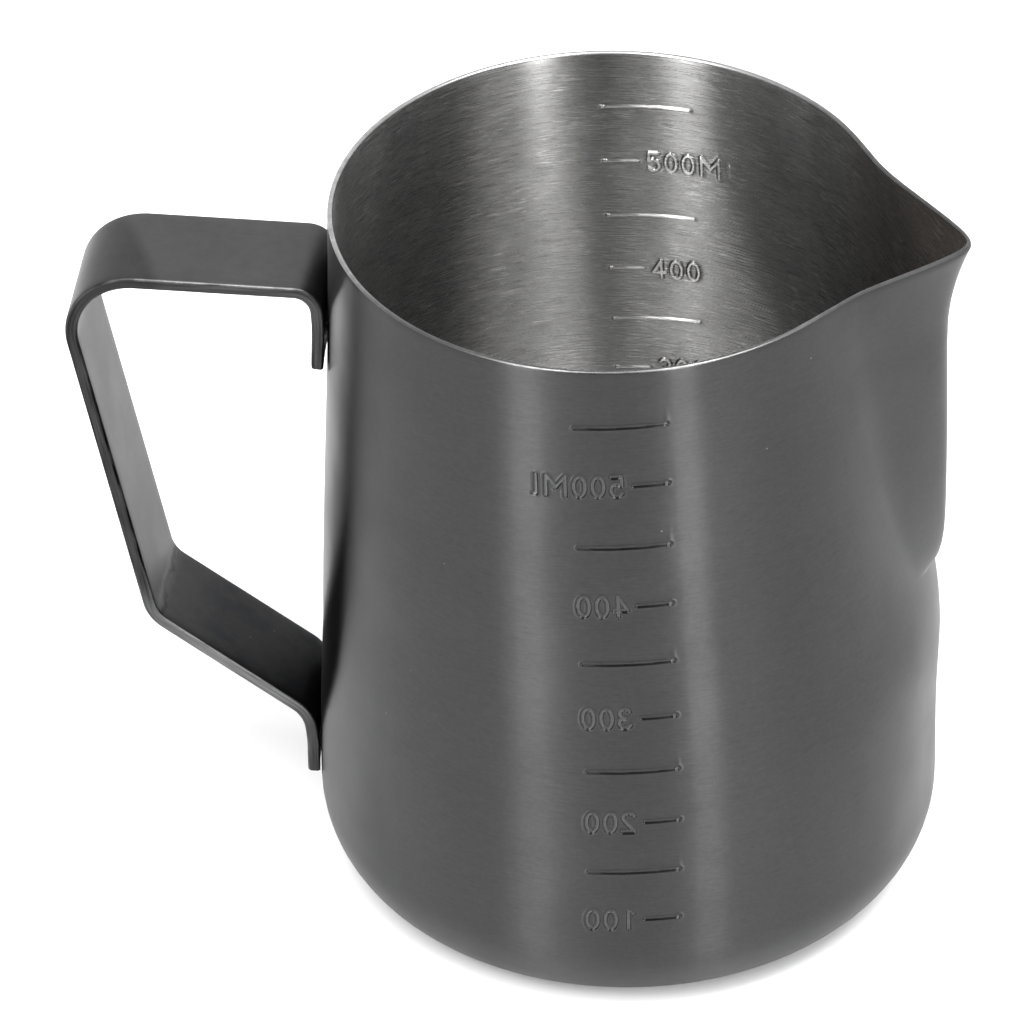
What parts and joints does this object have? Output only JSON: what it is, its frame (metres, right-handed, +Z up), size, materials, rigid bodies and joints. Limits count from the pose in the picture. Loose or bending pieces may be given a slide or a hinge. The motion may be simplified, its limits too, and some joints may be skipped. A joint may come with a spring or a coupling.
{
  "type": "milk frothing pitcher",
  "caption": "Drawn steel pitcher with a pressed pouring spout, an open mouth, a stamped millilitre scale and a bent strap handle on one side.",
  "frame": {"origin": "centre of the flat round base, on the surface the pitcher stands on", "axes": "+Z up through the mouth, +X towards the spout, handle towards -X, XZ is the plane of symmetry"},
  "size_m": [0.1269, 0.0882, 0.11],
  "materials": {
    "cup_steel": "dark grey satin coat over fine level brushing outside, bare brushed steel inside, bare rim edge",
    "handle_steel": "dark grey satin coat over rolled strip, worn lighter on its deburred edges",
    "weld_steel": "rough dark grey weld metal under the same coat"
  },
  "bodies": {
    "root": {"pitcher_body": "cup_steel", "handle_strap": "handle_steel", "upper_welds": "weld_steel", "lower_welds": "weld_steel"}
  },
  "joints": []
}
